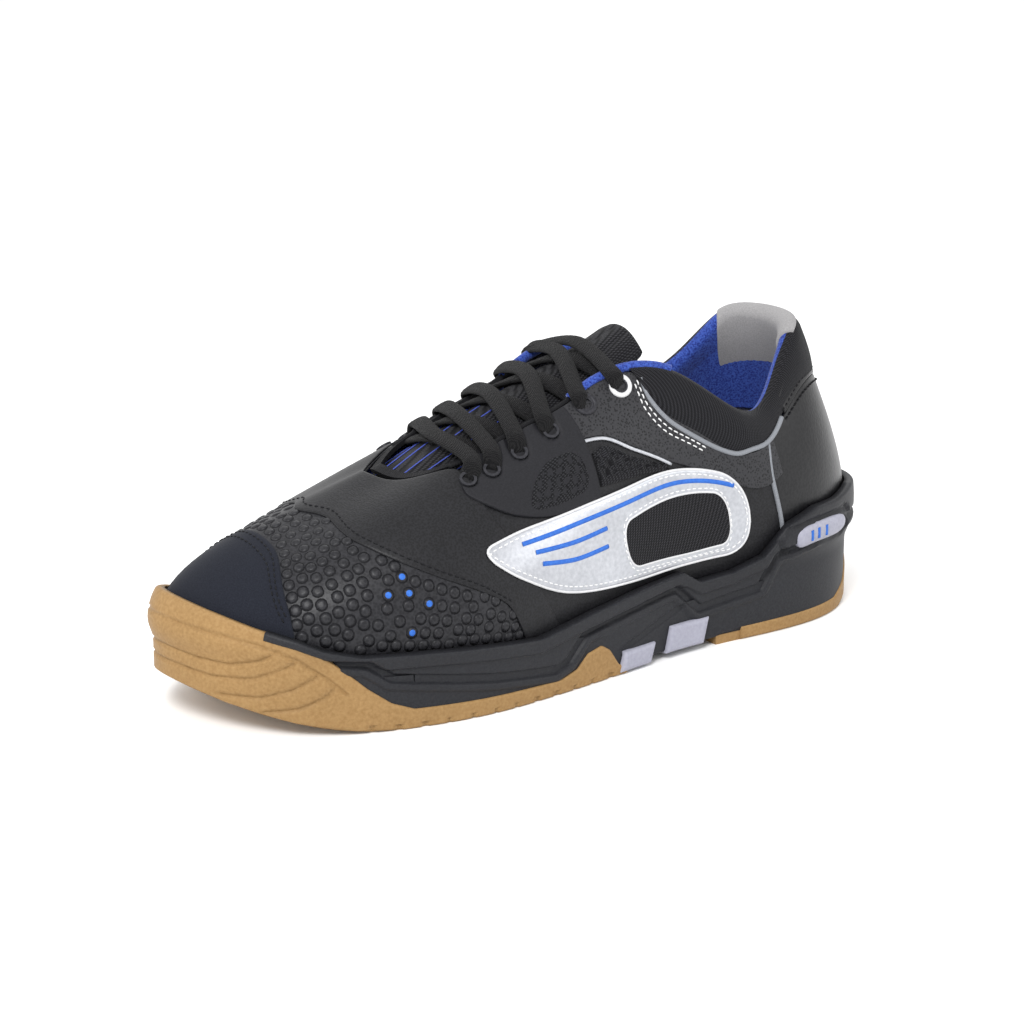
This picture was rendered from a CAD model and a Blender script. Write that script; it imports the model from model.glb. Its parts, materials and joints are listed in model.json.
import bmesh
import bpy
import json
import math
import numpy as np
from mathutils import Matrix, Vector


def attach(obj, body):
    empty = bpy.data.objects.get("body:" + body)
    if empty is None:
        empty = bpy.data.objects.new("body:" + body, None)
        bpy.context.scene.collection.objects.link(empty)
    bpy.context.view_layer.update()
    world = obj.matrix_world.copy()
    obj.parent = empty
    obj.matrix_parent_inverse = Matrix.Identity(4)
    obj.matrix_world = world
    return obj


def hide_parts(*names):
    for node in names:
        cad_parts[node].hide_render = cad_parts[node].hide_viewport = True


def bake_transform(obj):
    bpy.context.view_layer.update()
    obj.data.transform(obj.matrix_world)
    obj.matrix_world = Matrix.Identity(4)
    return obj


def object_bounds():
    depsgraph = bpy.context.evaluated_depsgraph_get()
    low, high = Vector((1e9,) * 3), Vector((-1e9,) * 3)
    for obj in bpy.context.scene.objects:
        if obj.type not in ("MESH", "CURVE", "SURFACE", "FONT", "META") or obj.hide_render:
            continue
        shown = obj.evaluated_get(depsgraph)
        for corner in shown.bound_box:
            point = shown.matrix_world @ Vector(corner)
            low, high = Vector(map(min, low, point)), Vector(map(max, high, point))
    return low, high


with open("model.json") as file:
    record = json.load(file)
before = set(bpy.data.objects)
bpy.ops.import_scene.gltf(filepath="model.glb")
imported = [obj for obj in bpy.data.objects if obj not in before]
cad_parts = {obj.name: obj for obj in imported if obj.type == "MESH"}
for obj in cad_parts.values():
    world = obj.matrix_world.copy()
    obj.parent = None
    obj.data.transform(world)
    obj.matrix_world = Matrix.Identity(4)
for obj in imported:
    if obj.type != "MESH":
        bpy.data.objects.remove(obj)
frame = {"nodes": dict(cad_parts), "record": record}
CAD_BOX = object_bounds()
MM = 0.001

# ---------- the last, in millimetres
CENTRE_SHIFT = (-0.1, -2.4)
SECTIONS = [
    [(142, -8, 26), (152, -9, 52), (110, -7, 59), (64, -3, 77)],
    [(133, 14, 25), (141, 17, 48), (106, 8, 60), (62, 6, 76)],
    [(114, 33, 23), (119, 38, 48), (90, 24, 64), (56, 13, 77)],
    [(86, 44, 21), (88, 52, 48), (70, 34, 67), (46, 18, 80)],
    [(55, 49, 20), (56, 56, 48), (46, 38, 70), (33, 20, 84)],
    [(25, 47, 20), (26, 53, 52), (18, 38, 76), (17, 21, 90)],
    [(-8, 42, 20), (-8, 46, 56), (-8, 36, 86), (-2, 22, 97)],
    [(-40, 37, 21), (-38, 42, 58), (-30, 36, 90), (-21, 23, 105)],
    [(-68, 36, 22), (-64, 42, 50), (-56, 38, 80), (-48, 31, 101)],
    [(-92, 36, 23), (-88, 43, 45), (-82, 40, 66), (-78, 36, 83)],
    [(-115, 32, 24), (-116, 40, 50), (-106, 32, 80), (-100, 26, 97)],
    [(-134, 19, 25), (-142, 24, 50), (-122, 16, 85), (-114, 17, 109)],
    [(-142, 0, 26), (-152, 0, 52), (-130, 0, 85), (-121, -3, 111)],
    [(-134, -19, 25), (-142, -24, 50), (-122, -18, 85), (-114, -22, 109)],
    [(-115, -31, 24), (-116, -40, 50), (-106, -34, 80), (-100, -30, 98)],
    [(-92, -34, 23), (-88, -42, 45), (-82, -40, 66), (-78, -36, 85)],
    [(-65, -31, 22), (-62, -38, 52), (-56, -38, 80), (-48, -31, 101)],
    [(-38, -29, 21), (-38, -35, 58), (-30, -36, 88), (-21, -24, 105)],
    [(-8, -31, 20), (-8, -37, 56), (-8, -34, 84), (-2, -22, 97)],
    [(25, -37, 20), (26, -42, 52), (18, -36, 76), (17, -21, 90)],
    [(55, -43, 20), (56, -50, 48), (46, -38, 69), (33, -20, 84)],
    [(86, -43, 21), (88, -51, 48), (70, -34, 66), (46, -18, 80)],
    [(114, -37, 23), (119, -42, 48), (90, -26, 63), (56, -13, 77)],
    [(133, -25, 25), (141, -29, 48), (106, -18, 60), (62, -8, 76)],
]
COUNT = len(SECTIONS)
PULLS = np.array(SECTIONS, float) + np.array([*CENTRE_SHIFT, 0.0])


def closed_spline_curvature(points):
    """Second derivatives of the closed cubic spline through evenly spaced points."""
    ring = np.eye(len(points))
    system = 4 * ring + np.roll(ring, 1, axis=0) + np.roll(ring, -1, axis=0)
    bend = np.roll(points, -1, axis=0) - 2 * points + np.roll(points, 1, axis=0)
    return np.linalg.solve(system, 6 * bend.reshape(len(points), -1)).reshape(points.shape)


CURVATURE = closed_spline_curvature(PULLS)


def last(u, v):
    """Points of the upper's outer face. u counts sections around the shoe, v climbs to the top line."""
    u, v = np.broadcast_arrays(np.asarray(u, float), np.asarray(v, float))
    start = np.floor(u).astype(int)
    b = (u - start)[..., None, None]
    a = 1 - b
    i, j = start % COUNT, (start + 1) % COUNT
    pulls = a * PULLS[i] + b * PULLS[j] + ((a**3 - a) * CURVATURE[i] + (b**3 - b) * CURVATURE[j]) / 6
    w = np.stack([(1 - v) ** 3, 3 * v * (1 - v) ** 2, 3 * v * v * (1 - v), v**3], -1)[..., None]
    return (w * pulls).sum(-2)


def unit(vectors):
    return vectors / np.maximum(np.linalg.norm(vectors, axis=-1, keepdims=True), 1e-9)


def climb(u, v):
    """Unit direction up the section."""
    return unit(last(u, np.asarray(v) + 1e-3) - last(u, np.asarray(v) - 1e-3))


def normal(u, v):
    """Outward unit normal."""
    along = last(np.asarray(u) + 1e-3, v) - last(np.asarray(u) - 1e-3, v)
    return unit(np.cross(along, climb(u, v)))


def smooth(x):
    x = np.clip(x, 0, 1)
    return x * x * (3 - 2 * x)


ROLL_THIN, ROLL_THICK = 0.75, 3.3      # half thickness of the top line: throat, padded collar
WALL_INSIDE = 3.3                      # depth of the lining below the collar
LINING_FOOT = 0.03


def roll(u):
    """Half thickness of the rolled top line at section u."""
    from_toe = np.abs((np.asarray(u, float) + COUNT / 2) % COUNT - COUNT / 2)
    return ROLL_THIN + (ROLL_THICK - ROLL_THIN) * smooth((from_toe - 6.7) / 1.3)


def shell(u, v, depth=0.0):
    """Point of the upper: v 0..1 climbs outside, 1..2 goes over the rolled top line, 2..3 goes down inside.
    depth is the distance off that skin."""
    u, v = np.broadcast_arrays(np.asarray(u, float), np.asarray(v, float))
    depth = np.asarray(depth, float)[..., None] * np.ones(v.shape + (1,))
    r = roll(u)[..., None]
    inner = np.where(v > 2, 1 - (v - 2) * (1 - LINING_FOOT), np.minimum(v, 1))
    n, up = normal(u, inner), climb(u, inner)
    turn = np.clip(v - 1, 0, 1)[..., None] * math.pi
    facing = n * np.cos(turn) + up * np.sin(turn)
    sink = smooth((1 - inner) / 0.45)[..., None]
    wall = np.where(v[..., None] > 2, 2 * r * (1 - sink) + WALL_INSIDE * sink - 2 * r, 0)
    centre = last(u, inner) - n * (r + wall)
    return centre + facing * (r + depth)


# ---------- curves on the last
def path(knots, t):
    """Catmull-Rom curve through knots, at t in 0..1."""
    knots = np.array(knots, float)
    t = np.atleast_1d(np.asarray(t, float)) * (len(knots) - 1)
    i = np.clip(t.astype(int), 0, len(knots) - 2)
    f = (t - i)[:, None]
    p0, p1 = knots[np.maximum(i - 1, 0)], knots[i]
    p2, p3 = knots[i + 1], knots[np.minimum(i + 2, len(knots) - 1)]
    m1, m2 = (p2 - p0) / 2, (p3 - p1) / 2
    first_half = (2 * f**3 - 3 * f**2 + 1) * p1 + (f**3 - 2 * f**2 + f) * m1
    return first_half + (3 * f**2 - 2 * f**3) * p2 + (f**3 - f**2) * m2


def lateral(knots):
    return list(knots)


def medial(knots):
    """The same curve on the medial side."""
    return [(-u, v) for u, v in knots]


SIDES = (("lateral", lateral), ("medial", medial))


# ---------- meshes
def new_object(name, points, faces, material, smooth_faces=True):
    mesh = bpy.data.meshes.new(name)
    mesh.from_pydata((np.asarray(points, float) * MM).tolist(), [], faces)
    mesh.update()
    piece = bpy.data.objects.new(name, mesh)
    bpy.context.scene.collection.objects.link(piece)
    mesh.materials.append(material)
    if smooth_faces:
        mesh.polygons.foreach_set("use_smooth", [True] * len(mesh.polygons))
    return piece


def recalc(piece):
    """Makes all the faces of a closed mesh face outwards."""
    bm = bmesh.new()
    bm.from_mesh(piece.data)
    bmesh.ops.recalc_face_normals(bm, faces=bm.faces)
    bm.to_mesh(piece.data)
    bm.free()
    return piece


def grid_faces(columns, rows, first=0, closed=False):
    faces = []
    for i in range(columns if closed else columns - 1):
        for j in range(rows - 1):
            a, b = first + i * rows + j, first + (i + 1) % columns * rows + j
            faces.append((a, b, b + 1, a + 1))
    return faces


def solid(name, outer, inner, material, closed=False):
    """Closed skin between an outer and an inner grid of points."""
    columns, rows = outer.shape[:2]
    size = columns * rows
    points = np.concatenate([outer.reshape(-1, 3), inner.reshape(-1, 3)])
    faces = grid_faces(columns, rows, 0, closed)
    faces += [f[::-1] for f in grid_faces(columns, rows, size, closed)]
    for i in range(columns if closed else columns - 1):
        k = (i + 1) % columns
        for j, flip in ((0, True), (rows - 1, False)):
            quad = (i * rows + j, k * rows + j, size + k * rows + j, size + i * rows + j)
            faces.append(quad if flip else quad[::-1])
    if not closed:
        for i, flip in ((0, False), (columns - 1, True)):
            for j in range(rows - 1):
                a = i * rows + j
                quad = (a, a + 1, size + a + 1, size + a)
                faces.append(quad if flip else quad[::-1])
    return recalc(new_object(name, points, faces, material))


def lip_spacing(count, length, lip):
    """0..1 in even steps, with extra steps close to both ends for a rounded edge."""
    near = np.array([0, 0.12, 0.35, 0.65, 1.0]) * min(lip / max(length, 1e-6), 0.2)
    return np.concatenate([near, np.linspace(near[-1], 1 - near[-1], count)[1:-1], 1 - near[::-1]])


def round_off(low, high, s, along, corners):
    """Draws the ends of a ruled strip together, for rounded corners of these radii in mm."""
    k = np.ones(len(s))
    for gap, radius in ((s * along, corners[0]), ((1 - s) * along, corners[1])):
        if radius:
            k = np.minimum(k, np.sqrt(np.clip(1 - np.clip(1 - gap / radius, 0, 0.985) ** 2, 0, 1)))
    middle = (low + high) / 2
    return middle + (low - middle) * k[:, None], middle + (high - middle) * k[:, None]


def ruled(lower, upper, step, lip, corners=(0, 0)):
    """(u, v) grid between two curves, about step mm apart, finer at the borders; and its edge distance."""
    t = np.linspace(0, 1, 24)
    low, high = path(lower, t), path(upper, t)
    across = np.linalg.norm(shell(high[:, 0], high[:, 1]) - shell(low[:, 0], low[:, 1]), axis=-1).mean()
    middle = (low + high) / 2
    along = np.linalg.norm(np.diff(shell(middle[:, 0], middle[:, 1]), axis=0), axis=-1).sum()
    s = lip_spacing(max(int(along / step), 4), along, lip)
    w = lip_spacing(max(int(across / step), 4), across, lip)
    if any(corners):
        extra = np.linspace(0, max(corners) / along, 14)[1:]
        s = np.sort(np.concatenate([s, extra, 1 - extra]))
    low, high = round_off(path(lower, s), path(upper, s), s, along, corners)
    low, high = low[:, None], high[:, None]
    uv = low + (high - low) * w[None, :, None]
    edge = np.minimum(np.minimum(s, 1 - s)[:, None] * along, np.minimum(w, 1 - w)[None, :] * across)
    return uv[..., 0], uv[..., 1], edge


def outline(lower, upper, inset, corners=(0, 0)):
    """Closed (u, v) loop round the strip between two curves, moved inwards by inset mm."""
    t = np.linspace(0, 1, 24)
    middle = (path(lower, t) + path(upper, t)) / 2
    along = np.linalg.norm(np.diff(shell(middle[:, 0], middle[:, 1]), axis=0), axis=-1).sum()
    s = inset / along + (1 - 2 * inset / along) * (0.5 - 0.5 * np.cos(np.linspace(0, math.pi, 90)))
    low, high = path(lower, s), path(upper, s)
    across = np.linalg.norm(shell(high[:, 0], high[:, 1]) - shell(low[:, 0], low[:, 1]), axis=-1)[:, None]
    low, high = low + (high - low) * inset / across, high - (high - low) * inset / across
    low, high = round_off(low, high, (s * along - inset) / (along - 2 * inset), along - 2 * inset,
                          [max(r - inset, 0.5) for r in corners])
    return [tuple(q) for q in np.concatenate([low, high[::-1], low[:1]])]


def panel(name, lower, upper, low, high, material, step=2.2, lip=0.8, relief=None, corners=(0, 0)):
    """One cut piece of the upper between two (u, v) curves, from depth low to high, its edges rounded."""
    u, v, edge = ruled(lower, upper, step, lip, corners)
    crown = np.sqrt(1 - (1 - np.clip(edge / lip, 0, 1)) ** 2)
    top = low + (high - low) * (0.35 + 0.65 * crown)
    if relief:
        top = top + relief(u, v, edge)
    return solid(name, shell(u, v, top), shell(u, v, low), material)


def tube_faces(count, sides):
    faces = []
    for i in range(count - 1):
        for j in range(sides):
            k = (j + 1) % sides
            faces.append((i * sides + j, i * sides + k, (i + 1) * sides + k, (i + 1) * sides + j))
    faces.append(tuple(range(sides))[::-1])
    faces.append(tuple((count - 1) * sides + j for j in range(sides)))
    return faces


def tube_mesh(points, radius, sides=8, flat=1.0, ups=None):
    """Vertices and faces of a closed tube along points, its section flattened along ups."""
    points = np.asarray(points, float)
    run = unit(np.gradient(points, axis=0))
    ups = np.array([[0.2, 0, 1.0]]) if ups is None else np.asarray(ups, float)
    side = unit(np.cross(run, np.broadcast_to(ups, points.shape)))
    up = np.cross(side, run)
    radius = np.broadcast_to(np.asarray(radius, float), (len(points),))[:, None, None]
    a = np.linspace(0, 2 * math.pi, sides, endpoint=False)
    ring = np.cos(a)[None, :, None] * side[:, None] + flat * np.sin(a)[None, :, None] * up[:, None]
    return (points[:, None] + radius * ring).reshape(-1, 3), tube_faces(len(points), sides)


def join_tubes(name, tubes, material):
    """One piece made of many tubes."""
    points, faces, first = [], [], 0
    for skin, quads in tubes:
        points.append(skin)
        faces += [tuple(first + i for i in face) for face in quads]
        first += len(skin)
    return recalc(new_object(name, np.concatenate(points), faces, material))


def on_shell(knots, depth, step=1.0):
    """Evenly spaced points and normals along a (u, v) curve laid on the upper."""
    fine = path(knots, np.linspace(0, 1, 12 * len(knots) + 200))
    points = shell(fine[:, 0], fine[:, 1], depth)
    reach = np.concatenate([[0], np.cumsum(np.linalg.norm(np.diff(points, axis=0), axis=-1))])
    places = np.linspace(0, reach[-1], max(int(reach[-1] / step), 3))
    u, v = np.interp(places, reach, fine[:, 0]), np.interp(places, reach, fine[:, 1])
    return shell(u, v, depth), shell(u, v, depth + 1) - shell(u, v, depth)


def piping(name, curves, radius, depth, material, flat=1.0):
    tubes = []
    for knots in curves:
        points, ups = on_shell(knots, depth)
        tubes.append(tube_mesh(points, radius, 8, flat, ups))
    return join_tubes(name, tubes, material)


STITCH_PITCH, STITCH_LENGTH, STITCH_RADIUS = 2.5, 1.7, 0.27


def stitching(name, curves, depth, material):
    """Rows of separate stitches, each a short thread that dips in at both ends."""
    tubes = []
    for knots in curves:
        points, ups = on_shell(knots, depth, STITCH_PITCH)
        run = unit(np.gradient(points, axis=0))
        for point, along, up in zip(points, run, unit(ups)):
            t = np.linspace(-0.5, 0.5, 5)[:, None]
            thread = point + along * STITCH_LENGTH * t + up * (0.12 - 1.5 * t * t)
            tubes.append(tube_mesh(thread, STITCH_RADIUS, 5, 0.8, up[None]))
    return join_tubes(name, tubes, material)


# ---------- materials
def texture(nodes, links, kind, scale, detail=3.0):
    """One procedural pattern in object coordinates; returns its value socket."""
    place = nodes.new("ShaderNodeTexCoord").outputs["Object"]
    if kind == "weave":
        values = []
        for turn in (0.785, -0.785):
            mapping = nodes.new("ShaderNodeMapping")
            mapping.inputs["Rotation"].default_value = (turn, turn, turn)
            links.new(place, mapping.inputs["Vector"])
            wave = nodes.new("ShaderNodeTexWave")
            wave.inputs["Scale"].default_value = scale
            wave.inputs["Distortion"].default_value = 0.6
            links.new(mapping.outputs["Vector"], wave.inputs["Vector"])
            values.append(wave.outputs["Fac"])
        product = nodes.new("ShaderNodeMath")
        product.operation = "MULTIPLY"
        links.new(values[0], product.inputs[0])
        links.new(values[1], product.inputs[1])
        return product.outputs[0]
    if kind == "cells":
        cells = nodes.new("ShaderNodeTexVoronoi")
        cells.inputs["Scale"].default_value = scale
        links.new(place, cells.inputs["Vector"])
        return cells.outputs["Distance"]
    noise = nodes.new("ShaderNodeTexNoise")
    noise.inputs["Scale"].default_value = scale
    noise.inputs["Detail"].default_value = detail
    links.new(place, noise.inputs["Vector"])
    return noise.outputs["Fac"]


def surface(name, light, dark, rough, kind, scale, bump, metallic=0.0, sheen=0.0, coat=0.0, wear=0.12,
            bump_mm=0.15, span=(0.3, 0.7), gleam=0.14):
    """Material whose colour follows its own fine pattern and a broad, soft unevenness."""
    material = bpy.data.materials.new(name)
    material.use_nodes = True
    nodes, links = material.node_tree.nodes, material.node_tree.links
    shader = nodes["Principled BSDF"]
    fine = texture(nodes, links, kind, scale)
    ramp = nodes.new("ShaderNodeValToRGB")
    ramp.color_ramp.elements[0].position, ramp.color_ramp.elements[1].position = span
    ramp.color_ramp.elements[0].color = (*dark, 1)
    ramp.color_ramp.elements[1].color = (*light, 1)
    links.new(fine, ramp.inputs["Fac"])
    broad = texture(nodes, links, "noise", 38.0, 4.0)
    tint = nodes.new("ShaderNodeMix")
    tint.data_type, tint.blend_type = "RGBA", "MULTIPLY"
    tint.inputs["Factor"].default_value = 1.0
    shade = nodes.new("ShaderNodeMapRange")
    shade.inputs["To Min"].default_value, shade.inputs["To Max"].default_value = 1 - wear, 1 + wear
    links.new(broad, shade.inputs["Value"])
    links.new(ramp.outputs["Color"], tint.inputs["A"])
    links.new(shade.outputs["Result"], tint.inputs["B"])
    links.new(tint.outputs["Result"], shader.inputs["Base Color"])
    gloss = nodes.new("ShaderNodeMapRange")
    gloss.inputs["To Min"].default_value = max(rough - 0.08, 0.05)
    gloss.inputs["To Max"].default_value = min(rough + 0.08, 1.0)
    links.new(broad, gloss.inputs["Value"])
    links.new(gloss.outputs["Result"], shader.inputs["Roughness"])
    relief = nodes.new("ShaderNodeBump")
    relief.inputs["Strength"].default_value = bump
    relief.inputs["Distance"].default_value = bump_mm * MM
    links.new(fine, relief.inputs["Height"])
    links.new(relief.outputs["Normal"], shader.inputs["Normal"])
    shader.inputs["Specular IOR Level"].default_value = gleam
    shader.inputs["Metallic"].default_value = metallic
    shader.inputs["Sheen Weight"].default_value = sheen
    shader.inputs["Coat Weight"].default_value = coat
    shader.inputs["Coat Roughness"].default_value = 0.25
    return material


GUM = surface("gum", (0.30, 0.185, 0.078), (0.24, 0.14, 0.054), 0.55, "noise", 900, 0.25, wear=0.10)
BLACK_RUBBER = surface("midsole_black", (0.020, 0.021, 0.024), (0.012, 0.012, 0.015), 0.5, "noise", 1400,
                       0.4, gleam=0.2)
SHANK = surface("shank_grey", (0.33, 0.33, 0.39), (0.28, 0.28, 0.34), 0.40, "noise", 900, 0.15)
NUBUCK = surface("toe_leather", (0.011, 0.013, 0.020), (0.006, 0.007, 0.012), 0.80, "noise", 2200, 0.5,
                 sheen=0.04)
VAMP = surface("vamp_black", (0.020, 0.020, 0.023), (0.010, 0.010, 0.012), 0.40, "cells", 900, 0.25,
               gleam=0.22)
SIDE = surface("side_leather", (0.013, 0.013, 0.015), (0.007, 0.007, 0.008), 0.42, "cells", 1300, 0.3,
               gleam=0.2)
STAY = surface("eyestay_rubber", (0.014, 0.014, 0.017), (0.009, 0.009, 0.011), 0.62, "noise", 1600, 0.3,
               gleam=0.2)
FACING = surface("facing_leather", (0.026, 0.026, 0.029), (0.004, 0.004, 0.005), 0.38, "cells", 1100, 0.8,
                 span=(0.2, 0.5), gleam=0.22)
SILVER = surface("silver", (0.50, 0.51, 0.54), (0.40, 0.41, 0.44), 0.33, "noise", 700, 0.2, metallic=0.85,
                 wear=0.25, gleam=0.5)
KNIT = surface("collar_knit", (0.022, 0.022, 0.026), (0.004, 0.004, 0.005), 0.85, "weave", 620, 0.9,
               sheen=0.06, span=(0.1, 0.6))
PIPING = surface("piping_grey", (0.26, 0.27, 0.29), (0.18, 0.19, 0.21), 0.45, "weave", 1300, 0.4)
GLOSSY = surface("heel_leather", (0.008, 0.008, 0.009), (0.004, 0.004, 0.005), 0.33, "cells", 800, 0.35,
                 coat=0.04, gleam=0.25)
BINDING = surface("binding_black", (0.014, 0.014, 0.016), (0.005, 0.005, 0.006), 0.6, "weave", 1100, 0.5)
BLUE = surface("lining_blue", (0.040, 0.085, 0.36), (0.010, 0.02, 0.15), 0.88, "noise", 1500, 0.9,
               sheen=0.15, span=(0.35, 0.62))
SUEDE = surface("lining_suede", (0.29, 0.285, 0.285), (0.22, 0.215, 0.22), 0.92, "noise", 1900, 0.5,
                sheen=0.1)
FOAM = surface("foam", (0.50, 0.50, 0.47), (0.38, 0.38, 0.36), 0.9, "cells", 900, 0.6)
BOARD = surface("board", (0.55, 0.49, 0.40), (0.42, 0.37, 0.30), 0.85, "noise", 700, 0.4)
INSOLE = surface("insole_fabric", (0.035, 0.065, 0.30), (0.012, 0.02, 0.12), 0.85, "weave", 320, 0.7,
                 sheen=0.2)
FIBRE = surface("stiffener", (0.66, 0.62, 0.54), (0.52, 0.48, 0.41), 0.85, "noise", 600, 0.4)
MESH = surface("tongue_mesh", (0.024, 0.024, 0.028), (0.003, 0.003, 0.004), 0.75, "weave", 420, 1.0,
               sheen=0.05, span=(0.1, 0.5), bump_mm=0.3)
EYELET = surface("eyelet_metal", (0.035, 0.035, 0.04), (0.02, 0.02, 0.024), 0.4, "noise", 900, 0.2)
LACE = surface("lace_black", (0.013, 0.0125, 0.0135), (0.002, 0.002, 0.0025), 0.8, "weave", 900, 1.0,
               sheen=0.05, span=(0.1, 0.6), bump_mm=0.3)
THREAD = surface("thread_black", (0.010, 0.010, 0.012), (0.005, 0.005, 0.006), 0.6, "noise", 2500, 0.5)
THREAD_WHITE = surface("thread_white", (0.78, 0.78, 0.78), (0.6, 0.6, 0.6), 0.6, "noise", 2500, 0.5)
THREAD_BLUE = surface("thread_blue", (0.07, 0.10, 0.42), (0.04, 0.06, 0.28), 0.6, "noise", 2500, 0.5)
INLAY = surface("inlay_blue", (0.035, 0.14, 0.50), (0.025, 0.10, 0.40), 0.38, "noise", 900, 0.2)
WHITE = surface("trim_white", (0.62, 0.62, 0.63), (0.54, 0.54, 0.55), 0.45, "noise", 900, 0.2)

SLOT_MATERIALS = {
    "gum_rubber": GUM, "midsole_black": BLACK_RUBBER, "shank_grey": SHANK, "toe_leather": NUBUCK,
    "vamp_black": VAMP, "side_leather": SIDE, "eyestay_rubber": STAY, "facing_leather": FACING,
    "silver": SILVER, "collar_knit": KNIT, "piping_grey": PIPING, "heel_leather": GLOSSY,
    "binding_black": BINDING, "lining_blue": BLUE, "lining_suede": SUEDE, "foam": FOAM, "board": BOARD,
    "insole_fabric": INSOLE, "stiffener": FIBRE, "tongue_mesh": MESH, "eyelet_metal": EYELET,
    "lace_black": LACE,
}
for part in frame["record"]["subparts"]:
    node = frame["nodes"][part["node"]]
    node.data.materials.clear()
    node.data.materials.append(SLOT_MATERIALS[part["material_slot"]])


def place(piece, slot, *nodes, body="shoe"):
    """Gives a piece its slot, the CAD nodes it stands for and its body. flex spans the ball of the foot."""
    if nodes:
        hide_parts(*nodes)
    if body == "flex":
        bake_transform(piece)
    else:
        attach(piece, body)
    return piece


# ---------- toe cap and vamp
CAP_SEAM = [(-2, 0.01), (-1.72, 0.30), (-1, 0.58), (0, 0.65), (1, 0.58), (1.72, 0.30), (2, 0.01)]
CAP_FOOT = [(-1.9, 0.0), (-1.3, 0.0), (-0.6, 0.0), (0, 0.0), (0.6, 0.0), (1.3, 0.0), (1.9, 0.0)]
THROAT_EDGE = 0.985
WING = [(5.3, 0.02), (4.77, 0.30), (4.27, 0.58), (3.79, 0.85), (3.2, 0.975)]
STUD_LINE = [(4.72, 0.02), (4.42, 0.20), (3.97, 0.31), (3.42, 0.41), (2.85, 0.51), (2.12, 0.63), (1.04, 0.78)]


def both(knots, middle):
    """A curve over the toe: the lateral knots from their low end, mirrored on the medial side."""
    return medial(knots) + middle + knots[::-1]


place(panel("toe_cap_skin", CAP_FOOT, CAP_SEAM, -1.0, 0.75, NUBUCK, step=2.0), "toe_leather", "toe_cap",
      body="toe")
cap_rows = [[(u * 0.985, v - d) for u, v in CAP_SEAM[1:-1]] for d in (0.022, 0.052)]
place(stitching("toe_cap_stitches", cap_rows, 0.82, THREAD), "toe_leather", body="toe")

VAMP_LOW = both([(5.3, 0.0), (4.3, 0.0), (3.4, 0.0), (2.6, 0.0), (2.02, 0.01), (1.72, 0.29), (1, 0.57)],
                [(0, 0.64)])
VAMP_HIGH = both(WING + [(2.2, THROAT_EDGE), (1.1, THROAT_EDGE)], [(0, THROAT_EDGE)])
place(panel("vamp_skin", VAMP_LOW, VAMP_HIGH, -1.0, 0.0, VAMP, step=1.6), "vamp_black",
      "vamp_front", "vamp_flex", "vamp_throat", body="flex")
THROAT_LOW = both(STUD_LINE, [(0, 0.78)])
THROAT_HIGH = both([(5.26, 0.02), (4.9, 0.22), (4.5, 0.45), (4.1, 0.68), (3.7, 0.88), (3.1, 0.975),
                    (1.6, THROAT_EDGE)],
                   [(0, THROAT_EDGE)])
place(panel("vamp_saddle", THROAT_LOW, THROAT_HIGH, 0.0, 0.7, SIDE, step=1.8), "side_leather", body="flex")


def dome(radius, height, rings=4, sides=12):
    """Vertices and faces of a low rounded stud about the origin, its flat side down."""
    points, faces = [(0, 0, height)], []
    for k in range(1, rings + 1):
        r = radius * k / rings
        z = height * math.sqrt(max(1 - (k / rings) ** 3, 0))
        turns = np.linspace(0, 2 * math.pi, sides, endpoint=False)
        points += [(r * math.cos(a), r * math.sin(a), z) for a in turns]
    points += [(x, y, -0.4) for x, y, _ in points[-sides:]]
    faces += [(0, 1 + j, 1 + (j + 1) % sides) for j in range(sides)]
    for k in range(rings):
        for j in range(sides):
            a, b = 1 + k * sides + j, 1 + k * sides + (j + 1) % sides
            faces.append((a, a + sides, b + sides, b))
    faces.append(tuple(1 + rings * sides + j for j in range(sides))[::-1])
    return np.array(points, float), faces


def scatter(name, places, depth, shape, material):
    """Copies of one small shape on the upper, each square to the skin, joined in one piece."""
    points, quads = shape
    u, v = np.array(places, float).T
    base, n = shell(u, v, depth), normal(u, v)
    up = climb(u, v)
    side = np.cross(up, n)
    skin = base[:, None] + points[None, :, :1] * side[:, None] + points[None, :, 1:2] * up[:, None]
    skin = skin + points[None, :, 2:] * n[:, None]
    faces = [tuple(i * len(points) + k for k in q) for i in range(len(base)) for q in quads]
    return recalc(new_object(name, skin.reshape(-1, 3), faces, material))


RIM_TOP = [(-150, 46), (-132, 48.5), (-119, 47), (-107, 47), (-94, 43), (-81, 32), (-66, 28), (-50, 27),
           (-42, 32), (-20, 30), (6, 27), (29, 23), (49, 25), (74, 27), (98, 28), (110, 31), (118, 34.5),
           (129, 38), (140, 42), (150, 46)]
RIM_X, RIM_Z = np.array(RIM_TOP, float).T


def stud_rows():
    """Hexagonal rows of studs between the cap seam and the stud line, 4.9 mm apart along them."""
    pitch, rows = 4.9, 18
    foot = [(5.0, 0.02), (4.2, 0.02), (3.4, 0.02), (2.6, 0.02), (2.02, 0.03), (1.74, 0.32), (1, 0.60)]
    low, high = both(foot, [(0, 0.67)]), THROAT_LOW
    places = []
    t = np.linspace(0, 1, 600)
    for k in range(rows):
        share = 0.03 + 0.93 * k / (rows - 1)
        curve = path(low, t) * (1 - share) + path(high, t) * share
        points = shell(curve[:, 0], curve[:, 1])
        reach = np.concatenate([[0], np.cumsum(np.linalg.norm(np.diff(points, axis=0), axis=-1))])
        start = (k % 2) * pitch / 2 + (reach[-1] % pitch) / 2
        stops = np.arange(start, reach[-1], pitch)
        u, v = np.interp(stops, reach, curve[:, 0]), np.interp(stops, reach, curve[:, 1])
        found = shell(u, v)
        clear = found[:, 2] > np.interp(found[:, 0], RIM_X, RIM_Z) + 1
        for a, b in zip(u[clear], v[clear]):
            spot = shell(a, b)
            if all(np.linalg.norm(spot - other) > 4.1 for _, _, other in places):
                places.append((a, b, spot))
    return [(a, b) for a, b, _ in places]


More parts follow.
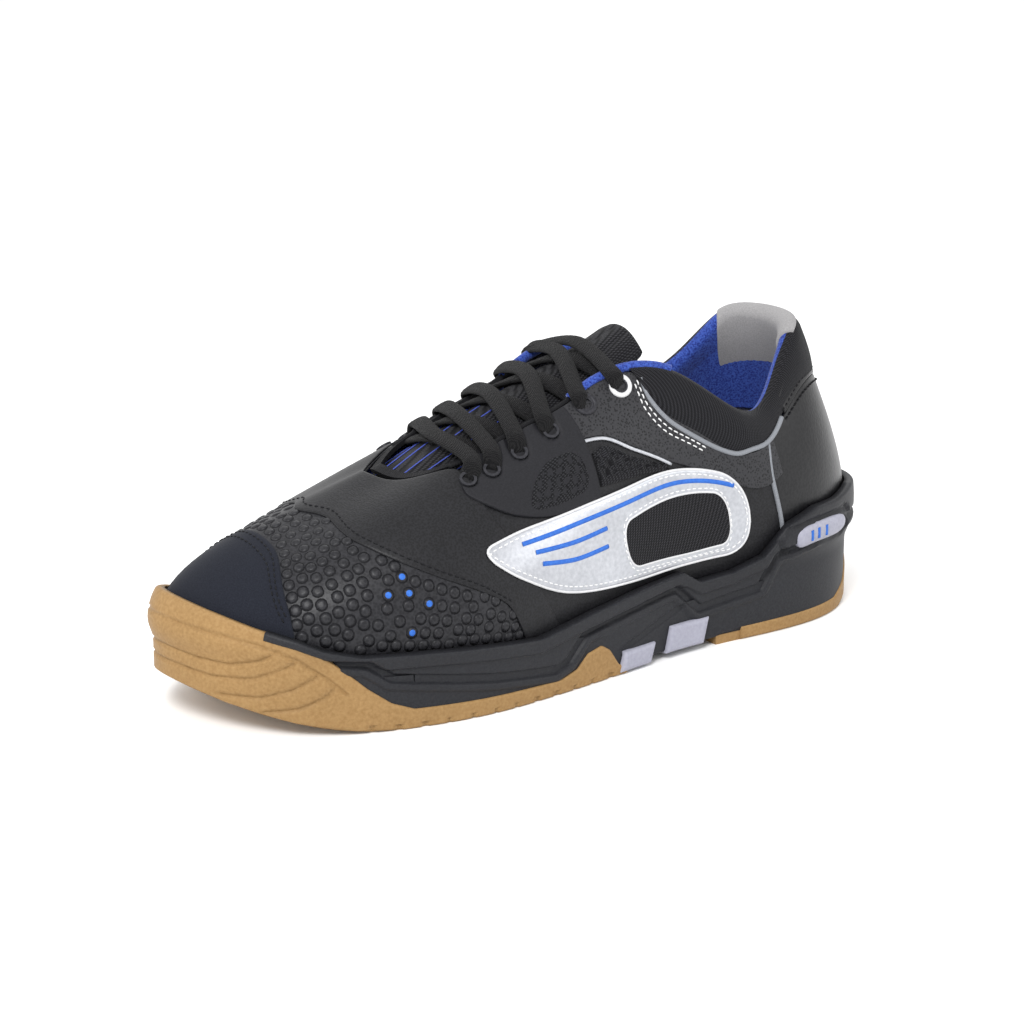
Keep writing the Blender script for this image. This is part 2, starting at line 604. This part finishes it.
STUDS = stud_rows()
BLUE_STUDS = [(2.95, 0.44), (2.74, 0.34), (3.07, 0.33), (3.40, 0.31), (3.17, 0.19)]
spots = shell(*np.array(STUDS).T)
chosen = set(int(np.argmin(np.linalg.norm(spots - shell(*p), axis=-1))) for p in BLUE_STUDS)
place(scatter("vamp_studs", STUDS, -0.05, dome(1.85, 0.55), VAMP), "vamp_black", body="flex")
place(scatter("vamp_stud_grooves", STUDS, -0.05, dome(2.35, 0.16, 2, 12), THREAD), "vamp_black", body="flex")
place(scatter("vamp_blue_dots", [STUDS[i] for i in sorted(chosen)], 0.0, dome(1.4, 0.75), INLAY),
      "vamp_black", body="flex")
saddle_edge = [(u, v + 0.028) for u, v in THROAT_LOW[1:-1]]
place(stitching("saddle_stitches", [saddle_edge], 0.75, THREAD), "side_leather", body="flex")

# ---------- sides
QUARTER_FOOT = [(5.2, 0.0), (6.3, 0.0), (7.3, 0.0), (8.2, 0.0), (9.3, 0.0)]
COLLAR_LINE = [(7.36, 0.95), (7.3, 0.82), (7.48, 0.71), (7.95, 0.66), (8.4, 0.69), (8.85, 0.80)]
QUARTER_TOP = [(3.5, 0.985), (5, 0.99), (6.3, 0.99), (7.45, 0.98), (7.6, 0.85), (8.0, 0.74), (8.5, 0.74),
               (9.3, 0.86)]
STAY_LOW = [(3.62, 0.80), (4.1, 0.69), (4.6, 0.58), (5.2, 0.50), (5.9, 0.48)]
STAY_TOP = [(3.42, 0.985), (4.1, 0.99), (4.6, 0.99), (5.1, 0.99), (5.9, 0.99)]
FACING_LOW = [(5.62, 0.79), (6.2, 0.73), (6.65, 0.62), (7.2, 0.53), (7.9, 0.50), (8.6, 0.52), (9.2, 0.60)]
FACING_TOP = [(5.70, 0.99), (6.2, 0.99), (6.8, 0.99), (7.42, 0.97), (7.56, 0.76), (8.3, 0.69), (9.2, 0.86)]
BAND_LOW = [(4.12, 0.43), (4.6, 0.30), (5.3, 0.17), (6.2, 0.12), (7.2, 0.12), (8.35, 0.16)]
BAND_TOP = [(4.05, 0.49), (4.6, 0.51), (5.4, 0.49), (6.4, 0.47), (7.4, 0.50), (8.45, 0.55)]
BAND_CORNERS = (7, 12)
WINDOW_LOW = [(6.25, 0.165), (7.2, 0.16), (8.0, 0.20)]
WINDOW_TOP = [(6.15, 0.34), (7.1, 0.385), (8.02, 0.43)]
WINDOW_CORNERS = (6, 8)
STAY_WINDOW_LOW = [(4.78, 0.57), (5.3, 0.54), (5.78, 0.54)]
STAY_WINDOW_TOP = [(4.85, 0.68), (5.2, 0.76), (5.72, 0.74)]
STAY_WINDOW_CORNERS = (6, 6)
EYELETS = [(3.72, 0.86), (4.22, 0.86), (4.80, 0.88), (5.45, 0.90), (6.24, 0.92), (6.98, 0.92)]
SLOTS = 4


def notch_relief(u, v, edge):
    """Rounded slots at the first eyelets, open at the throat, sunk into the eyestay."""
    spot = shell(u, v)
    drop = np.zeros(u.shape)
    for eu, ev in EYELETS[:SLOTS]:
        t = np.linspace(0, 1, 6)
        line = shell(np.abs(np.full(6, eu)) * np.sign(u.mean()), ev + 0.12 * t)
        reach = np.min(np.linalg.norm(spot[..., None, :] - line, axis=-1), axis=-1)
        drop = np.maximum(drop, 1 - smooth((reach - 3.2) / 0.7))
    return -1.0 * drop


HOLE_PITCH = 3.6


def air_mesh(u, v, edge):
    """Round holes in a hexagonal pattern over a knitted panel, kept off its border."""
    spot = shell(u, v)
    a, b = spot[..., 0] / HOLE_PITCH, spot[..., 2] / (HOLE_PITCH * 0.866)
    row = np.floor(b)
    nearest = np.full(u.shape, 9.0)
    for shift in (-1, 0, 1):
        across = a - 0.5 * ((row + shift) % 2)
        gap = np.hypot(across - np.round(across), (b - row - shift - 0.5) * 0.866)
        nearest = np.minimum(nearest, gap)
    return -0.9 * (1 - smooth((nearest - 0.2) / 0.14)) * smooth((edge - 0.8) / 0.6)


for side, on in SIDES:
    place(panel(f"quarter_{side}_skin", on(QUARTER_FOOT), on(QUARTER_TOP), -1.0, 0.02, SIDE, step=2.4),
          "side_leather", f"quarter_{side}")
    place(panel(f"eyestay_{side}_skin", on(STAY_LOW), on(STAY_TOP), 0.05, 1.5, STAY, step=0.9,
                relief=notch_relief, corners=(5, 0)),
          "eyestay_rubber", f"eyestay_{side}")
    place(panel(f"eyestay_mesh_{side}", on(STAY_WINDOW_LOW), on(STAY_WINDOW_TOP), 0.9, 1.75, MESH, step=1.2,
                relief=air_mesh, corners=STAY_WINDOW_CORNERS),
          "tongue_mesh")
    place(panel(f"side_facing_{side}", on(FACING_LOW), on(FACING_TOP), 0.05, 1.0, FACING, step=2.0),
          "facing_leather", f"eyelet_facing_{side}")
    edge = on([(u, v - 0.012) for u, v in FACING_LOW[:4]])
    place(piping(f"facing_edge_{side}", [edge], 0.75, 0.55, SILVER), "silver")
    inner_mesh_low = [(5.95, 0.52), (6.35, 0.50), (6.8, 0.49), (7.2, 0.49)]
    inner_mesh_top = [(5.95, 0.68), (6.2, 0.68), (6.6, 0.58), (7.1, 0.52)]
    place(panel(f"side_mesh_{side}", on(inner_mesh_low), on(inner_mesh_top), 0.0, 1.0, MESH, step=1.0,
                relief=air_mesh), "tongue_mesh")
    place(panel(f"side_band_{side}", on(BAND_LOW), on(BAND_TOP), 0.05, 1.5, SILVER, step=1.4,
                corners=BAND_CORNERS), "silver", f"side_overlay_{side}")
    place(panel(f"band_window_{side}", on(WINDOW_LOW), on(WINDOW_TOP), 0.8, 1.62, MESH, step=1.4,
                corners=WINDOW_CORNERS), "tongue_mesh")
    rims = [outline(BAND_LOW, BAND_TOP, 2.0, BAND_CORNERS),
            outline(WINDOW_LOW, WINDOW_TOP, -1.6, WINDOW_CORNERS)]
    place(stitching(f"band_stitches_{side}", [on(k) for k in rims], 1.52, THREAD_WHITE), "silver")
    rims = [outline(BAND_LOW, BAND_TOP, 0.1, BAND_CORNERS),
            outline(WINDOW_LOW, WINDOW_TOP, -0.1, WINDOW_CORNERS)]
    place(piping(f"band_edge_{side}", [on(k) for k in rims], 0.5, 1.2, WHITE), "silver")
    lines = [[(8.2, 0.49), (7.3, 0.445), (6.4, 0.415), (5.4, 0.43), (4.6, 0.45)],
             [(5.9, 0.355), (5.4, 0.36), (4.8, 0.39)], [(5.9, 0.285), (5.4, 0.29), (4.9, 0.33)]]
    place(piping(f"band_lines_{side}", [on(k) for k in lines], 0.95, 1.35, INLAY, flat=0.6), "silver")

# ---------- heel
TOP = 0.995
TAB_LINE = [(9.6, 0.87), (10.6, 0.80), (12, 0.72), (13.4, 0.80), (14.4, 0.87)]
COUNTER_FOOT = [(9.03, 0.0), (10.5, 0.0), (12, 0.0), (13.5, 0.0), (14.97, 0.0)]
COUNTER_TOP = [(9.03, 0.84)] + TAB_LINE + [(14.97, 0.84)]
place(panel("heel_counter_skin", COUNTER_FOOT, COUNTER_TOP, -0.9, 0.5, GLOSSY, step=2.2), "heel_leather",
      "heel_counter")
TAB_TOP = [(u, TOP) for u, v in TAB_LINE]
place(panel("heel_tab_skin", TAB_LINE, TAB_TOP, -0.6, 0.9, GLOSSY, step=1.8), "heel_leather", "heel_tab")
HEEL_SEAM = [(9.05, 0.04), (9.03, 0.3), (9.0, 0.6), (9.1, 0.84)]
for side, on in SIDES:
    place(piping(f"heel_piping_{side}", [on(HEEL_SEAM)], 0.9, 0.3, PIPING), "piping_grey")
tab_rows = [[(u, v + d) for u, v in TAB_LINE] for d in (-0.03, 0.03)]
place(stitching("heel_tab_stitches", tab_rows, 0.95, THREAD), "heel_leather")

# ---------- collar
COLLAR_HALF = COLLAR_LINE + [(9.5, 0.89)]
COLLAR_LOW = COLLAR_HALF + TAB_LINE[1:-1] + [(COUNT - u, v) for u, v in COLLAR_HALF[::-1]]
COLLAR_IN = 2.22


def collar():
    """Padded knit collar: up from its seam, over the top line and down inside, swollen between its seams."""
    t = np.linspace(0, 1, 340)
    low = path(COLLAR_LOW, t)
    over = np.concatenate([np.linspace(0, 1, 30)[:-1], np.linspace(1, 2, 14)[:-1],
                           np.linspace(2, COLLAR_IN, 8)])
    u = low[:, :1] + 0 * over[None]
    lean = np.clip(over, 0, 1)[None]
    v = np.where(over[None] < 1, low[:, 1:] + (1 - low[:, 1:]) * lean, over[None])
    height = np.linalg.norm(shell(low[:, 0], 1.0 + 0 * t) - shell(low[:, 0], low[:, 1]), axis=-1)
    swell = np.sin(math.pi * np.clip(over / 1.25, 0, 1)[None] ** 0.8)
    puff = 1.5 * np.clip(height / 14, 0.25, 1)[:, None] * swell
    ends = np.minimum(t, 1 - t)[:, None] * 340
    puff = puff * smooth(ends / 12)
    piece = solid("collar_knit_pad", shell(u, v, 0.35 + puff), shell(u, v, -1.2), KNIT)
    piece.data.materials.append(BLUE)
    rows = len(over)
    inside = over > 1.45
    for face in piece.data.polygons:
        face.material_index = int(all(inside[i % rows] for i in face.vertices))
    return piece


pad = place(collar(), "collar_knit", "collar_lateral", "collar_medial", "collar_foam", "collar_binding")
suede_low, suede_top = [(10.2, 2.75), (12, 2.8), (13.8, 2.75)], [(10.7, 1.25), (12, 1.2), (13.3, 1.25)]
place(panel("heel_suede_patch", suede_low, suede_top, -1.0, 1.3, SUEDE, step=2.0, lip=1.4), "lining_suede")
for side, on in SIDES:
    place(piping(f"collar_piping_{side}_cord", [on(COLLAR_LINE + [(9.5, 0.885)])], 0.95, 0.75, PIPING),
          "piping_grey", f"collar_piping_{side}")
    rows = [[(u - d, v - 0.3 * d) for u, v in COLLAR_LINE[:4]] for d in (0.09, 0.16)]
    place(stitching(f"collar_stitches_{side}", [on(k) for k in rows], 1.1, THREAD_WHITE), "piping_grey")
    edge = [(u, 1.35) for u in np.linspace(3.0, 7.9, 12)]
    place(piping(f"top_line_roll_{side}", [on(edge[:8])], 1.1, -0.2, BINDING), "binding_black")
    place(piping(f"blue_roll_{side}", [on(edge[7:])], 1.9, 0.2, BLUE), "lining_blue")

# ---------- sole
SOLE_LIP, RIM = 3.4, 3.5
GROUND = [(-152, 19), (-147, 12), (-143, 6), (-136, 2), (-126, 0), (84, 0), (100, 1.2), (118, 5), (135, 11),
          (151, 19)]
GUM_TOP = [(-152, 30), (-147, 26), (-140, 17), (-132, 9), (-122, 5.5), (-62, 5), (-58, 4), (-9, 4),
           (-4, 11), (0, 13.5), (7, 12), (12, 7.5), (20, 5.5), (40, 6), (80, 7), (88, 10), (96, 16),
           (106, 25.5), (112, 31.3), (118, 34.2), (129, 37.7), (140, 41.7), (151, 46)]
MAIN_GROOVE = [(150, 30), (96, 25), (88, 19), (50, 13), (22, 9.5), (16, 11.5), (8, 20), (-38, 26.5),
               (-50, 16), (-79, 19), (-86, 31), (-100, 34), (-118, 37), (-150, 37)]
LOW_GROOVE = [(-12, 9), (-41, 18.5)]
POD_LINE = [(-93, 36), (-104, 37.5), (-122, 37.5)]
TOE_GROOVES = [[(151, 39), (140, 36), (128, 33), (118, 28.5), (109, 21), (103, 15)],
               [(150, 30), (141, 26), (134, 25), (127, 27.5), (122, 31)],
               [(147, 23), (138, 20), (129, 20.5), (121, 24.5), (117, 28)],
               [(136, 14), (127, 14), (118, 17.5), (111, 22.5)],
               [(126, 9), (117, 10.5), (110, 14), (106, 18)]]


def profile(knots, x):
    xs, zs = np.array(knots, float).T
    return np.interp(x, xs, zs)


def line_distance(x, z, knots):
    """Distance in side view from each point to a chain of straight lines."""
    spot, nearest = np.stack([x, z], -1), np.full(np.shape(x), 1e3)
    for a, b in zip(np.array(knots[:-1], float), np.array(knots[1:], float)):
        t = np.clip(((spot - a) @ (b - a)) / ((b - a) @ (b - a)), 0, 1)[..., None]
        nearest = np.minimum(nearest, np.linalg.norm(spot - a - t * (b - a), axis=-1))
    return nearest


def side_wall(u, z, depth):
    """Outer face of the sole at section u and height z: upright below, then up the side of the upper."""
    u, z, depth = np.broadcast_arrays(np.asarray(u, float), np.asarray(z, float), np.asarray(depth, float))
    ladder = np.linspace(0, 0.55, 56)
    heights = last(u[..., None], ladder)[..., 2]
    v = np.clip((z[..., None] > heights).sum(-1) - 1, 0, 54)
    low = np.take_along_axis(heights, v[..., None], -1)[..., 0]
    high = np.take_along_axis(heights, v[..., None] + 1, -1)[..., 0]
    v = np.clip((v + np.clip((z - low) / (high - low), 0, 1)) * ladder[1], 0, 0.55)
    foot, skin = last(u, 0), last(u, v)
    out = unit(normal(u, np.full(u.shape, 0.02)) * (1, 1, 0))
    upright = foot + out * (SOLE_LIP + depth)[..., None]
    upright[..., 2] = z
    clad = skin + unit(normal(u, v) * (1, 1, 0.4)) * (RIM + depth)[..., None]
    k = smooth((z - foot[..., 2] + 1) / 9)[..., None]
    return upright * (1 - k) + clad * k


def sole_skin(name, u0, u1, low_line, high_line, depth, back, material, step=1.1, rows=34, relief=None):
    """A skin on the side of the sole between two side-view lines, from section u0 to u1."""
    columns = int(abs(u1 - u0) * 28 / step)
    u = np.linspace(u0, u1, columns)[:, None]
    x = side_wall(u[:, 0], 20, 0)[:, 0][:, None]
    low, high = low_line(x), high_line(x)
    w = lip_spacing(rows, 20, 0.7)[None]
    z = low + (high - low) * w
    edge = np.minimum(w, 1 - w) * (high - low)
    round_edge = 0.8 * (1 - np.sqrt(1 - (1 - np.clip(edge / 0.9, 0, 1)) ** 2))
    lift = depth - round_edge + (relief(x + 0 * z, z) if relief else 0)
    u = u + 0 * z
    return solid(name, side_wall(u, z, lift), side_wall(u, z, back + 0 * z), material)


def black_relief(x, z):
    main = line_distance(x, z, MAIN_GROOVE)
    above = smooth((z - profile(MAIN_GROOVE[::-1], x)) / 2.0)
    lift = (1.5 - 0.8 * smooth((-100 - x) / 15)) * above - 2.0 * (1 - smooth((main - 0.9) / 1.1))
    lift += 0.9 * (1 - smooth((main - 3.4) / 1.6)) * (1 - above)
    lift -= 1.2 * (1 - smooth((line_distance(x, z, LOW_GROOVE) - 0.8) / 0.9))
    lift -= 1.1 * smooth((profile(RIM_TOP, x) - 4.6 - z) / 1.2) * above * smooth((x + 86) / 6)
    pod = line_distance(x, z, POD_LINE)
    lift -= 1.2 * (1 - smooth((np.abs(pod - 4.9) - 0.6) / 0.7))
    return lift


def gum_relief(x, z):
    lift = 0 * z
    for line in TOE_GROOVES:
        lift = np.minimum(lift, -0.9 * (1 - smooth((line_distance(x, z, line) - 0.25) / 0.55)))
    ribs = (z < profile(GROUND, x) + 2.2) * (np.abs((x % 9.0) - 4.5) < 0.8) * (np.abs(x - 40) < 60)
    return lift - 0.9 * ribs


def ground_line(x):
    return profile(GROUND, x) + 0.15


def gum_line(x):
    return profile(GUM_TOP, x)


def under_gum(x):
    return np.minimum(profile(GUM_TOP, x) - 1.0, profile(RIM_TOP, x) - 2.5)


def rim_line(x):
    return profile(RIM_TOP, x)


place(sole_skin("sole_wall_skin", 1.55, 22.45, under_gum, rim_line, 0.5, -2.2, BLACK_RUBBER, 1.0, 46,
                black_relief), "midsole_black", "midsole_wall_lateral", "midsole_wall_heel",
      "midsole_wall_medial", "forefoot_walls", body="flex")
place(sole_skin("toe_bumper_skin", -6.15, 6.15, ground_line, gum_line, 1.3, -1.6, GUM, 0.9, 44,
                gum_relief), "gum_rubber", "toe_bumper", body="flex")
place(sole_skin("heel_gum_skin", 8.1, 15.9, ground_line, gum_line, 1.0, -1.6, GUM, rows=16), "gum_rubber")


SHANK_BLOCKS = [((-26, 1.0), (-10, 8.5)), ((-53, 2.5), (-34, 12.5))]


def section_at(x, side_sign):
    """Section number of the sole's side at a place along the rear half of the shoe."""
    scan = np.linspace(3, 11.6, 600)
    u = np.interp(-np.asarray(x, float), -side_wall(scan, 10, 0)[:, 0], scan)
    return u if side_sign > 0 else COUNT - u


for side, sign in (("lateral", 1), ("medial", -1)):
    for k, ((x0, z0), (x1, z1)) in enumerate(SHANK_BLOCKS):
        s, w = lip_spacing(24, x1 - x0, 1.4)[:, None], lip_spacing(14, z1 - z0, 1.4)[None]
        z = z0 + (z1 - z0) * w + 0 * s
        u = section_at(x1 + (x0 - x1) * s - 2.5 * (w - 0.5), sign)
        edge = np.minimum(np.minimum(s, 1 - s) * (x1 - x0), np.minimum(w, 1 - w) * (z1 - z0))
        crown = 1.3 * np.sqrt(1 - (1 - np.clip(edge / 1.6, 0, 1)) ** 2)
        front, back = side_wall(u, z, 1.0 + crown), side_wall(u, z, -2.5 + 0 * z)
        place(solid(f"shank_block_{side}_{k + 1}", front, back, SHANK), "shank_grey", "arch_shank")


def pod(side, sign):
    """Window block let into the rear of the sole's side, its face crowned, with three plain bars."""
    s = np.linspace(0, 1, 40)[:, None]
    w = np.linspace(-1, 1, 22)[None]
    line = path(POD_LINE, s[:, 0])
    half = 3.8 * np.sqrt(np.clip(1 - np.abs(2 * s - 1) ** 5, 0.02, 1))
    z = line[:, 1:] + half * w
    u_scan = np.linspace(8.6, 11.6, 240)
    xs = side_wall(u_scan, 36, 0)[:, 0]
    u = np.interp(-line[:, 0], -xs, u_scan)[:, None] + 0 * z
    u = u if sign > 0 else COUNT - u
    crown = 1.1 * (1 - np.abs(w) ** 3) * np.sqrt(np.clip(1 - np.abs(2 * s - 1) ** 6, 0, 1))
    front, back = side_wall(u, z, 1.9 + crown), side_wall(u, z, -0.6 + 0 * z)
    place(solid(f"heel_window_{side}", front, back, SHANK), "shank_grey", f"heel_window_{side}")
    bars = []
    for k in (0.38, 0.5, 0.62):
        i = int(k * 39)
        bars.append(tube_mesh(side_wall(u[i, 5:17], z[i, 5:17], 2.95), 0.7, 8, 0.6, normal(u[i, 5:17], 0.3)))
    place(join_tubes(f"heel_window_bars_{side}", bars, INLAY), "shank_grey")


pod("lateral", 1)
pod("medial", -1)

# ---------- tongue
TONGUE_MIDDLE = -2.2
TONGUE = [(60, 24.5, 66, 73), (41, 27, 70, 83), (18.6, 27, 76.2, 93.5), (-5, 26, 84.6, 102.5),
          (-18, 25.5, 89.5, 107.5), (-31, 18.5, 102, 113), (-42, 15.5, 110, 118)]
TONGUE_THICK = 5.0


def tongue_surface(t, w, depth):
    t, w = np.broadcast_arrays(np.asarray(t, float), np.asarray(w, float))
    def point(a, b):
        x, half, edge, crown = np.moveaxis(path(TONGUE, a.ravel()).reshape(a.shape + (4,)), -1, 0)
        return np.stack([x, TONGUE_MIDDLE + half * b, crown - (crown - edge) * b * b], -1)
    h = 1e-3
    n = unit(np.cross(point(t, w + h) - point(t, w - h), point(t + h, w) - point(t - h, w)))
    return point(t, w) + n * np.asarray(depth, float)[..., None]


def tongue():
    """Padded tongue with sewn channels along it and rounded edges."""
    s = lip_spacing(120, 130, 2.5)
    w = 2 * lip_spacing(56, 50, 2.5) - 1
    t, w = s[:, None] * 0.985 + 0.004, w[None] * 0.97
    edge = np.minimum(np.minimum(s, 1 - s)[:, None] * 130, (1 - np.abs(w)) * 26)
    crown = np.sqrt(1 - (1 - np.clip(edge / 2.5, 0, 1)) ** 2)
    channels = 0.5 * np.abs(np.sin(w * math.pi * 2.5)) ** 0.6 * smooth(edge / 6)
    middle = -TONGUE_THICK / 2
    front = tongue_surface(t, w, middle + crown * (TONGUE_THICK / 2 - 0.5 + channels))
    back = tongue_surface(t, w, middle - crown * TONGUE_THICK / 2)
    piece = solid("tongue_pad", front, back, MESH)
    piece.data.materials.append(BLUE)
    size = front.shape[0] * front.shape[1]
    for face in piece.data.polygons:
        face.material_index = int(min(face.vertices) >= size)
    return piece


pad = tongue()
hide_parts("tongue_cover", "tongue_foam", "tongue_lining", "tongue_top_cover", "tongue_top_foam",
            "tongue_top_lining")
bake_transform(pad)
stripes = []
for w in (-0.62, -0.38, -0.14, 0.14, 0.38, 0.62):
    t = np.linspace(0.02, 0.34, 40)
    stripes.append(tube_mesh(tongue_surface(t, w + 0 * t, 0.1 + 0 * t), 0.3, 6, 0.7))
place(join_tubes("tongue_stripes", stripes, THREAD_BLUE), "tongue_mesh")

# ---------- laces
LACE_WIDTH, LACE_THICK = 6.6, 2.3


def lace(start, rise, crown, fall, end, ups):
    """Flat braided lace through five places, sampled on a smooth line."""
    line = path([start, rise, crown, fall, end], np.linspace(0, 1, 120))
    reach = np.concatenate([[0], np.cumsum(np.linalg.norm(np.diff(line, axis=0), axis=-1))])
    even = np.linspace(0, reach[-1], int(reach[-1] / 0.55))
    line = np.stack([np.interp(even, reach, line[:, k]) for k in range(3)], -1)
    ups = path(ups, even / reach[-1])
    run = unit(np.gradient(line, axis=0))
    side = unit(np.cross(run, ups))
    up = np.cross(side, run)
    sides = 26
    a = np.linspace(0, 2 * math.pi, sides, endpoint=False)
    ripple = np.sin(even[:, None] * 2.6 + 9 * np.abs(np.cos(a))[None])
    braid = 1 + 0.07 * ripple * (np.abs(np.sin(a)) > 0.2)[None]
    across = np.sign(np.cos(a)) * np.abs(np.cos(a)) ** 0.8 * LACE_WIDTH / 2
    lift = np.sign(np.sin(a)) * np.abs(np.sin(a)) ** 0.8 * LACE_THICK / 2
    skin = line[:, None] + across[None, :, None] * side[:, None]
    skin = skin + (lift[None] * braid)[..., None] * up[:, None]
    return skin.reshape(-1, 3), tube_faces(len(line), sides)


def strand(i_lateral, i_medial, over):
    """One run of lace between a lateral and a medial eyelet."""
    (ul, vl), (um, vm) = EYELETS[i_lateral], EYELETS[i_medial]
    ends = [(ul, vl), (-um, vm)]
    lift = 2.7 if over else 1.0
    spots = [shell(u, v, -1.0 if over else -2.0) for u, v in ends]
    normals = [normal(u, v) for u, v in ends]
    edge = [shell(u, min(v + 0.10, 1.0), lift if over else -1.6) for u, v in ends]
    middle = (spots[0] + spots[1]) / 2
    t = np.interp(-middle[0], [-s[0] for s in TONGUE], range(7)) / 6
    crown = tongue_surface(t, 0, (1.4 if over else -0.6) + LACE_THICK)
    crown[1] = middle[1]
    high = np.array([0.3, 0, 1.0])
    ups = [normals[0], normals[0], high, normals[1], normals[1]]
    return lace(spots[0], edge[0], crown, edge[1], spots[1], ups)


over = [strand(i, i + 1, True) for i in range(5)] + [strand(5, 5, True)]
under = [strand(i + 1, i, False) for i in range(5)]
place(join_tubes("lace_over", over, LACE), "lace_black", "lace_upper_strands")
place(join_tubes("lace_under", under, LACE), "lace_black", "lace_lower_strands")


def ring(name, u, v, radius, wire, depth, material):
    a = np.linspace(0, 2 * math.pi, 33)[:-1]
    n, up = normal(u, v), climb(u, v)
    side = np.cross(up, n)
    centre = shell(u, v, depth)
    b = np.linspace(0, 2 * math.pi, 13)[:-1]
    r = radius + wire * np.cos(b)[None]
    flat = np.cos(a)[:, None, None] * side + np.sin(a)[:, None, None] * up
    skin = centre + flat * r[..., None] + (wire * np.sin(b))[None, :, None] * n
    faces = [(i * 12 + j, i * 12 + (j + 1) % 12, (i + 1) % 32 * 12 + (j + 1) % 12, (i + 1) % 32 * 12 + j)
             for i in range(32) for j in range(12)]
    return recalc(new_object(name, skin.reshape(-1, 3), faces, material))


for side, sign in (("lateral", 1), ("medial", -1)):
    for number, radius, wire, material in ((5, 3.4, 0.8, EYELET), (6, 3.5, 0.9, WHITE)):
        u, v = EYELETS[number - 1]
        place(ring(f"eyelet_ring_{number}_{side}", sign * u, v, radius, wire, 1.2, material), "eyelet_metal")

# ---------- studio
low, high = (Vector(corner) for corner in CAD_BOX)
centre = (low + high) / 2


def plane(name, points, material):
    mesh = bpy.data.meshes.new(name)
    mesh.from_pydata(points, [], [tuple(range(len(points)))])
    thing = bpy.data.objects.new(name, mesh)
    bpy.context.scene.collection.objects.link(thing)
    mesh.materials.append(material)


PAPER = surface("floor_paper", (0.93, 0.93, 0.93), (0.91, 0.91, 0.91), 0.9, "noise", 3.0, 0.0, wear=0.01)
plane("floor", [(-4, -4, 0), (4, -4, 0), (4, 4, 0), (-4, 4, 0)], PAPER)


def area_light(name, spot, target, size, power):
    data = bpy.data.lights.new(name, "AREA")
    data.shape, data.size, data.energy = "DISK", size, power
    lamp = bpy.data.objects.new(name, data)
    bpy.context.scene.collection.objects.link(lamp)
    lamp.location = spot
    lamp.rotation_euler = (Vector(target) - Vector(spot)).to_track_quat("-Z", "Y").to_euler()


area_light("key", (0.75, 0.65, 1.0), centre, 0.5, 14)
area_light("side", (-0.9, 0.9, 0.5), centre, 0.7, 2.5)
area_light("front", (1.0, -0.6, 0.6), centre, 0.8, 2.5)
area_light("back", (-0.6, -0.9, 0.9), centre, 0.8, 2.5)
world = bpy.data.worlds.new("studio")
world.use_nodes = True
world.node_tree.nodes["Background"].inputs["Color"].default_value = (1, 1, 1, 1)
world.node_tree.nodes["Background"].inputs["Strength"].default_value = 1.08
bpy.context.scene.world = world
bpy.context.scene.view_settings.view_transform = "Standard"

BEARING, ELEVATION, DISTANCE = math.radians(34.89), math.radians(18.97), 0.9871
TURN_UP, TURN_SIDE = math.radians(2.87), math.radians(0.32)
flat = math.cos(ELEVATION)
towards = Vector((math.sin(BEARING) * flat, math.cos(BEARING) * flat, math.sin(ELEVATION)))
right = (-towards).cross(Vector((0, 0, 1))).normalized()
upward = right.cross(-towards)
stand = Vector((centre.x, centre.y, low.z)) + Vector((-0.97, -3.1, 0)) * MM
aim = stand + DISTANCE * (upward * math.tan(TURN_UP) - right * math.tan(TURN_SIDE))
data = bpy.data.cameras.new("camera")
data.lens, data.sensor_width, data.clip_start = 93.0, 36.0, 0.01
camera = bpy.data.objects.new("camera", data)
bpy.context.scene.collection.objects.link(camera)
camera.location = stand + towards * DISTANCE
camera.rotation_euler = (aim - camera.location).to_track_quat("-Z", "Y").to_euler()
bpy.context.scene.camera = camera
